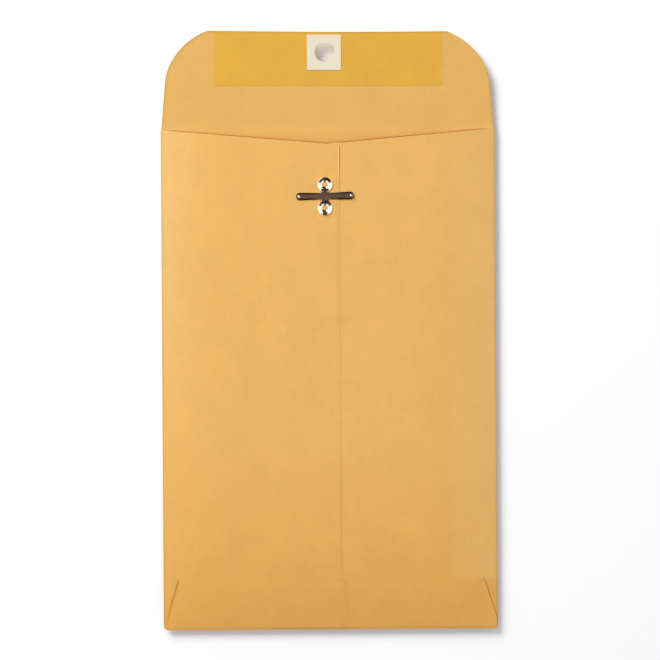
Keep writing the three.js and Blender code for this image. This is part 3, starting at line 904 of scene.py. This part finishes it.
# Where the painted sheen along the side folds lies, and how strong it is
PAINTED_SHEEN_FROM = (UNCOVERED_Y, UNCOVERED_Y + 2 * MM)
LEFT_PAINTED_SHEEN = (-57 * MM, -74 * MM)
LEFT_PAINTED_SHEEN_UPWARDS = (BOTTOM_Y + 85 * MM, BOTTOM_Y + 190 * MM)
RIGHT_PAINTED_SHEEN = (53.5 * MM, 58 * MM, 0, 0.32)  # and by how much
RIGHT_EDGE_PAINTED_SHEEN = (58 * MM, HALF_WIDTH, 0, 0.4)

# The gum's ends and streaks
GUM_RAGGED = 0.3 * MM
GUM_FADE = 0.7 * MM
STREAK_SPAN = (0.35, 0.65)
STREAK_SHARES = (0.92, 1.0)


class Nodes:
    """The node tree of a material or of the world, under construction."""

    def __init__(self, owner):
        owner.use_nodes = True
        self.owner = owner
        self.tree = owner.node_tree
        self.shader = self.tree.nodes.get("Principled BSDF")
        self.places = self.add("ShaderNodeTexCoord").outputs

    def feed(self, socket, value):
        """Gives an input a value, or links it to an output."""
        if isinstance(value, (int, float, tuple)):
            socket.default_value = value
        else:
            self.tree.links.new(value, socket)

    def add(self, kind, inputs=(), **settings):
        node = self.tree.nodes.new(kind)
        for name, value in settings.items():
            setattr(node, name, value)
        for name, value in dict(inputs).items():
            self.feed(node.inputs[name], value)
        return node

    def split(self, place):
        """The X, Y and Z of a place or a direction."""
        outputs = self.add("ShaderNodeSeparateXYZ", {"Vector": place}).outputs
        return outputs["X"], outputs["Y"], outputs["Z"]

    def noise(self, scale, detail=4, turn=(0, 0, 0)):
        mapping = {"Vector": self.places["Object"], "Scale": scale, "Rotation": turn}
        place = self.add("ShaderNodeMapping", mapping).outputs["Vector"]
        inputs = {"Vector": place, "Scale": 1, "Detail": detail}
        inputs["Roughness"] = NOISE_ROUGHNESS
        return self.add("ShaderNodeTexNoise", inputs).outputs["Fac"]

    def curve(self, value, low, high, out_low=0.0, out_high=1.0):
        inputs = {
            "Value": value,
            "From Min": low,
            "From Max": high,
            "To Min": out_low,
            "To Max": out_high,
        }
        return self.add("ShaderNodeMapRange", inputs).outputs["Result"]

    def math(self, operation, first, second):
        node = self.add("ShaderNodeMath", operation=operation)
        for socket, value in zip(node.inputs, (first, second)):
            self.feed(socket, value)
        return node.outputs["Value"]

    def mix(self, share, first, second, blend="MIX"):
        node = self.add("ShaderNodeMix", data_type="RGBA", blend_type=blend)
        for name, value in (("Factor", share), ("A", first), ("B", second)):
            self.feed(next(s for s in node.inputs if s.name == name and s.enabled), value)
        return next(s for s in node.outputs if s.enabled)

    def edge_shaded(self, colour):
        """A colour with shade painted darker along the mesh's edges."""
        edge_shade = self.add("ShaderNodeAttribute", attribute_name="edge_shade").outputs["Fac"]
        return self.mix(self.math("MULTIPLY", edge_shade, EDGE_DARKENING), colour, BLACK)

    def bump(self, height, distance, strength, normal=None):
        inputs = {"Height": height, "Distance": distance, "Strength": strength}
        if normal:
            inputs["Normal"] = normal
        return self.add("ShaderNodeBump", inputs).outputs["Normal"]

    def shade(self, looks):
        """Gives the shader its looks and returns the finished material."""
        for name, value in looks.items():
            self.feed(self.shader.inputs[name], value)
        return self.owner

    def finish(self, colour, roughness, normal, sheen=PLAIN_SHEEN, metallic=0):
        return self.shade({
            "Base Color": colour,
            "Roughness": roughness,
            "Normal": normal,
            "Specular IOR Level": sheen,
            "Metallic": metallic,
        })


def new_material(name):
    return Nodes(bpy.data.materials.new(name))


def paper_look(nodes, colour, depth=1.0, cloudiness=0.030):
    """Fibres, cloudy formation and the faint cross-lines of machine-made kraft."""
    cloud = nodes.noise((90, 70, 90), detail=5)
    fibre_a = nodes.noise((420, 2600, 900), detail=3, turn=(0, 0, FIBRE_TURNS[0]))
    fibre_b = nodes.noise((2400, 500, 900), detail=3, turn=(0, 0, FIBRE_TURNS[1]))
    lines = nodes.noise((18, 700, 60), detail=2)
    flock = nodes.noise((420, 340, 400), detail=2)
    tone = nodes.curve(cloud, *CLOUD_SPAN, 1 - cloudiness, 1 + cloudiness)
    grains = [
        (flock, FLOCK_STRENGTH * depth),
        (fibre_a, FIBRE_STRENGTH * depth),
        (fibre_b, FIBRE_STRENGTH * depth),
        (lines, LINE_STRENGTH * depth),
    ]
    for grain, strength in grains:
        share = nodes.curve(grain, *GRAIN_SPAN, 1 - strength, 1 + strength)
        tone = nodes.math("MULTIPLY", tone, share)
    grey = nodes.add("ShaderNodeCombineColor", {"Red": tone, "Green": tone, "Blue": tone})
    shaded = nodes.mix(1.0, colour, grey.outputs["Color"], "MULTIPLY")
    fleck = nodes.curve(nodes.noise((1500, 1100, 1200), detail=1), *FLECK_SPAN)
    fleck = nodes.math("MULTIPLY", fleck, FLECK_SHARE * depth)
    shaded = nodes.mix(fleck, shaded, FLECK_COLOUR)
    height = nodes.math("ADD", fibre_a, nodes.math("MULTIPLY", fibre_b, CROSSING_SHARE))
    normal = nodes.bump(cloud, *CLOUD_BUMP, nodes.bump(height, *FIBRE_BUMP))
    return shaded, normal


def kraft():
    """Kraft paper, deeper in colour towards the bottom fold, where more layers lie.

    Above the bottom flap it is painted paler and less saturated along the side folds, a painted
    sheen, and it is duller on the seal flap.
    """
    nodes = new_material("kraft_paper")
    across, along, _ = nodes.split(nodes.places["Object"])
    near_end = nodes.curve(along, *DEEPER_TOWARDS_END)
    front = nodes.mix(near_end, KRAFT_COLOUR, KRAFT_END_COLOUR)
    # painted sheen along the side folds, stronger higher up on the left
    upwards = nodes.curve(along, *LEFT_PAINTED_SHEEN_UPWARDS)
    left = nodes.math("MULTIPLY", nodes.curve(across, *LEFT_PAINTED_SHEEN), upwards)
    right_edge = nodes.curve(across, *RIGHT_EDGE_PAINTED_SHEEN)
    right = nodes.math("ADD", nodes.curve(across, *RIGHT_PAINTED_SHEEN), right_edge)
    uncovered = nodes.curve(along, *PAINTED_SHEEN_FROM)
    painted_sheen = nodes.math("MULTIPLY", nodes.math("ADD", left, right), uncovered)
    front = nodes.mix(painted_sheen, front, KRAFT_PAINTED_SHEEN_COLOUR)
    on_flap = nodes.curve(along, *INNER_FACE_FROM)
    colour = nodes.mix(on_flap, front, KRAFT_INNER_COLOUR)
    shaded, normal = paper_look(nodes, nodes.edge_shaded(colour))
    roughness = nodes.curve(nodes.noise((300, 300, 300)), *CLOUD_SPAN, *KRAFT_ROUGHNESS)
    return nodes.finish(shaded, roughness, normal)


def gum():
    """Dried gum: yellower and smoother than the paper that shows through, with ragged ends."""
    nodes = new_material("dried_gum")
    across = nodes.split(nodes.places["Object"])[0]
    from_middle = nodes.math("ABSOLUTE", nodes.math("SUBTRACT", across, GUM_X), 0)
    ragged = nodes.curve(nodes.noise((60, 260, 60)), *CLOUD_SPAN, -GUM_RAGGED, GUM_RAGGED)
    inside = nodes.curve(nodes.math("ADD", from_middle, ragged), GUM_HALF, GUM_HALF - GUM_FADE)
    streaks = nodes.curve(nodes.noise((30, 500, 60), detail=3), *STREAK_SPAN, *STREAK_SHARES)
    coated = nodes.mix(nodes.math("MULTIPLY", inside, streaks), KRAFT_INNER_COLOUR, GUM_COLOUR)
    shaded, normal = paper_look(nodes, nodes.edge_shaded(coated), depth=0.7, cloudiness=0.040)
    return nodes.finish(shaded, nodes.curve(inside, 0, 1, *GUM_ROUGHNESS), normal, GUM_SHEEN)


def board():
    nodes = new_material("tag_board")
    shaded, normal = paper_look(nodes, BOARD_COLOUR, depth=0.6, cloudiness=0.018)
    return nodes.finish(shaded, BOARD_ROUGHNESS, normal, BOARD_SHEEN)


def glue():
    nodes = new_material("dried_glue")
    cloud = nodes.noise((200, 300, 200))
    colour = nodes.mix(cloud, GLUE_DARK, GLUE_PALE)
    return nodes.finish(colour, GLUE_ROUGHNESS, nodes.bump(cloud, *GLUE_BUMP))


def metal():
    """Brown tinned steel, a little stained and drawn lengthwise: it shows what it mirrors."""
    nodes = new_material("dark_tinned_metal")
    stain = nodes.noise((700, 700, 700))
    drawn = nodes.noise((300, 5200, 900), detail=2)
    colour = nodes.mix(nodes.curve(stain, *CLOUD_SPAN), METAL_DARK, METAL_PALE)
    roughness = nodes.curve(stain, *CLOUD_SPAN, *METAL_ROUGHNESS)
    return nodes.finish(colour, roughness, nodes.bump(drawn, *METAL_BUMP), metallic=1)


def dress(obj, body, material, node):
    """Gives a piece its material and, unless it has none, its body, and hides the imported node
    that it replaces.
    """
    obj.data.materials.clear()
    obj.data.materials.append(material)
    if body:
        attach(obj, body)
    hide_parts(node)
    return obj


def build_pocket(paper, glued):
    dress(back_sheet(), "pocket", paper, "back_panel")
    right = side_sheet(
        "right_side_sheet", HALF_WIDTH, SEAM_LEFT, right_panel_floor, right_panel_thickness
    )
    dress(right, "pocket", paper, "right_side_panel")
    left = side_sheet(
        "left_side_sheet", -HALF_WIDTH, SEAM_X, left_panel_floor, left_panel_thickness
    )
    dress(left, "pocket", paper, "left_side_panel")
    dress(bottom_sheet(), "pocket", paper, "bottom_flap")
    right_edge = SEAM_X - GLUE_MARGIN
    seam_top = float(mouth(HALF_WIDTH)(SEAM_LEFT)) - GLUE_MARGIN
    seam = film(
        "seam_glue_film", right_edge - SEAM_GLUE_WIDTH, right_edge, GLUE_MARGIN, seam_top,
        puckered(right_panel_floor),
    )
    dress(seam, "pocket", glued, "seam_glue")
    left_edge = BOTTOM_FLAP_LEFT_TAPER + GLUE_MARGIN - HALF_WIDTH
    right_edge = HALF_WIDTH - BOTTOM_FLAP_RIGHT_TAPER - GLUE_MARGIN
    top = BOTTOM_FLAP_HEIGHT - GLUE_MARGIN
    spans = [
        ("left", left_edge, SEAM_X, left_panel_floor),
        ("right", SEAM_X + BOTTOM_FLAP_RAMP, right_edge, right_panel_floor),
    ]
    for side, low, high, floor in spans:
        piece = film(f"bottom_glue_film_{side}", low, high, GLUE_MARGIN, top, floor)
        dress(piece, "pocket", glued, f"bottom_glue_{side}")


def build_flap(paper):
    strip = dress(lower_strip(), None, paper, "flap_fold_strip")
    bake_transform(strip)
    flap = dress(flap_sheet(), None, paper, "seal_flap")
    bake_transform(flap)
    dress(gum_sheet(), "flap", gum(), "flap_gum_strip")
    dress(patch_sheet(), "flap", board(), "flap_hole_patch")


def build_clasp(paper, tinned):
    dress(clasp_base(), "pocket", tinned, "clasp_base")
    for name, side in (("left", -1), ("right", 1)):
        tongue = prong(name, side)
        dress(tongue, f"prong_{name}", tinned, f"clasp_prong_{name}")
    for name, side in (("upper", 1), ("lower", -1)):
        dress(slug(name, side), "pocket", paper, f"eyelet_paper_{name}")


# Floor, light and camera

FLOOR_SIZE = 4.0
FLOOR_DROP = 0.05 * MM  # below the envelope's back
FLOOR_COLOUR = (0.995, 0.985, 0.965, 1)
KEY_TILT = math.radians(57)  # from straight above
KEY_AZIMUTH = math.radians(38)  # from +Y towards -X
KEY_DISTANCE = 2.2
KEY_SIZE = 1.3
KEY_POWER = 48.1
SKY = (0.455, 0.465, 0.495, 1)
MIRRORED_SIDES = (2.2, 2.2, 2.2, 1)  # what glossy surfaces mirror to the left and right
MIRRORED_TILT = 0.45  # how much further those reach below than above
MIRRORED_LOWEST = -0.35
MIRRORED_FROM = (0.33, 0.44)
MIRRORED_ABOVE = (0.22, 0.135, 0.12, 1)
MIRRORED_ABOVE_SPAN = (0.8, 1.0, 0.02, 1.3)  # of the direction's Z, and the share at both ends
FLOOR_LIFT = 0.085  # how much the floor glows where it is looked at
SCALE = 0.457 * MM  # a photograph pixel at the envelope
PICTURE = 660
PICTURE_ROLL = math.radians(-0.36)
PICTURE_SHIFT = Vector((0.49 * MM, 0.13 * MM, 0))
CAMERA_HEIGHT = 2.2
SENSOR = 36.0


def add_floor():
    bpy.ops.mesh.primitive_plane_add(size=FLOOR_SIZE, location=(0, 0, -FLOOR_DROP))
    floor = bpy.context.object
    floor.name = "floor"
    nodes = new_material("white_floor")
    rays = nodes.add("ShaderNodeLightPath").outputs
    seen = nodes.math("MAXIMUM", rays["Is Camera Ray"], rays["Is Glossy Ray"])
    seen = nodes.math("MAXIMUM", seen, rays["Is Transmission Ray"])
    white = nodes.shade({
        "Base Color": FLOOR_COLOUR,
        "Roughness": 1,
        "Specular IOR Level": 0,
        "Emission Color": WHITE,
        "Emission Strength": nodes.math("MULTIPLY", seen, FLOOR_LIFT),
    })
    floor.data.materials.append(white)


def add_world():
    """An even sky, which glossy surfaces see as bright to the sides and below and dim elsewhere."""
    world = bpy.data.worlds.new("world")
    bpy.context.scene.world = world
    nodes = Nodes(world)
    x, y, z = nodes.split(nodes.places["Generated"])
    lower = nodes.math("MULTIPLY", nodes.math("MAXIMUM", y, MIRRORED_LOWEST), MIRRORED_TILT)
    aside = nodes.math("SUBTRACT", nodes.math("ABSOLUTE", x, 0), lower)
    dim = nodes.mix(nodes.curve(z, *MIRRORED_ABOVE_SPAN), BLACK, MIRRORED_ABOVE)
    mirrored = nodes.mix(nodes.curve(aside, *MIRRORED_FROM), dim, MIRRORED_SIDES)
    glossy = nodes.add("ShaderNodeLightPath").outputs["Is Glossy Ray"]
    background = nodes.tree.nodes["Background"]
    nodes.feed(background.inputs["Color"], nodes.mix(glossy, SKY, mirrored))
    background.inputs["Strength"].default_value = 1


def add_light():
    key = bpy.data.lights.new("key", "AREA")
    key.shape = "DISK"
    key.size = KEY_SIZE
    key.energy = KEY_POWER
    lamp = bpy.data.objects.new("key", key)
    turn = Matrix.Rotation(KEY_AZIMUTH, 4, "Z") @ Matrix.Rotation(-KEY_TILT, 4, "X")
    lamp.matrix_world = turn @ Matrix.Translation((0, 0, KEY_DISTANCE))
    bpy.context.scene.collection.objects.link(lamp)


def add_camera():
    data = bpy.data.cameras.new("camera")
    data.sensor_width = SENSOR
    data.lens = SENSOR * CAMERA_HEIGHT / (SCALE * PICTURE)
    camera = bpy.data.objects.new("camera", data)
    camera.matrix_world = (
        Matrix.Translation(PICTURE_SHIFT + Vector((0, 0, CAMERA_HEIGHT)))
        @ Matrix.Rotation(PICTURE_ROLL, 4, "Z")
    )
    bpy.context.scene.collection.objects.link(camera)
    bpy.context.scene.camera = camera


bpy.context.scene.view_settings.view_transform = "Standard"
paper_material = kraft()
build_pocket(paper_material, glue())
build_flap(paper_material)
build_clasp(paper_material, metal())
add_floor()
add_world()
add_light()
add_camera()
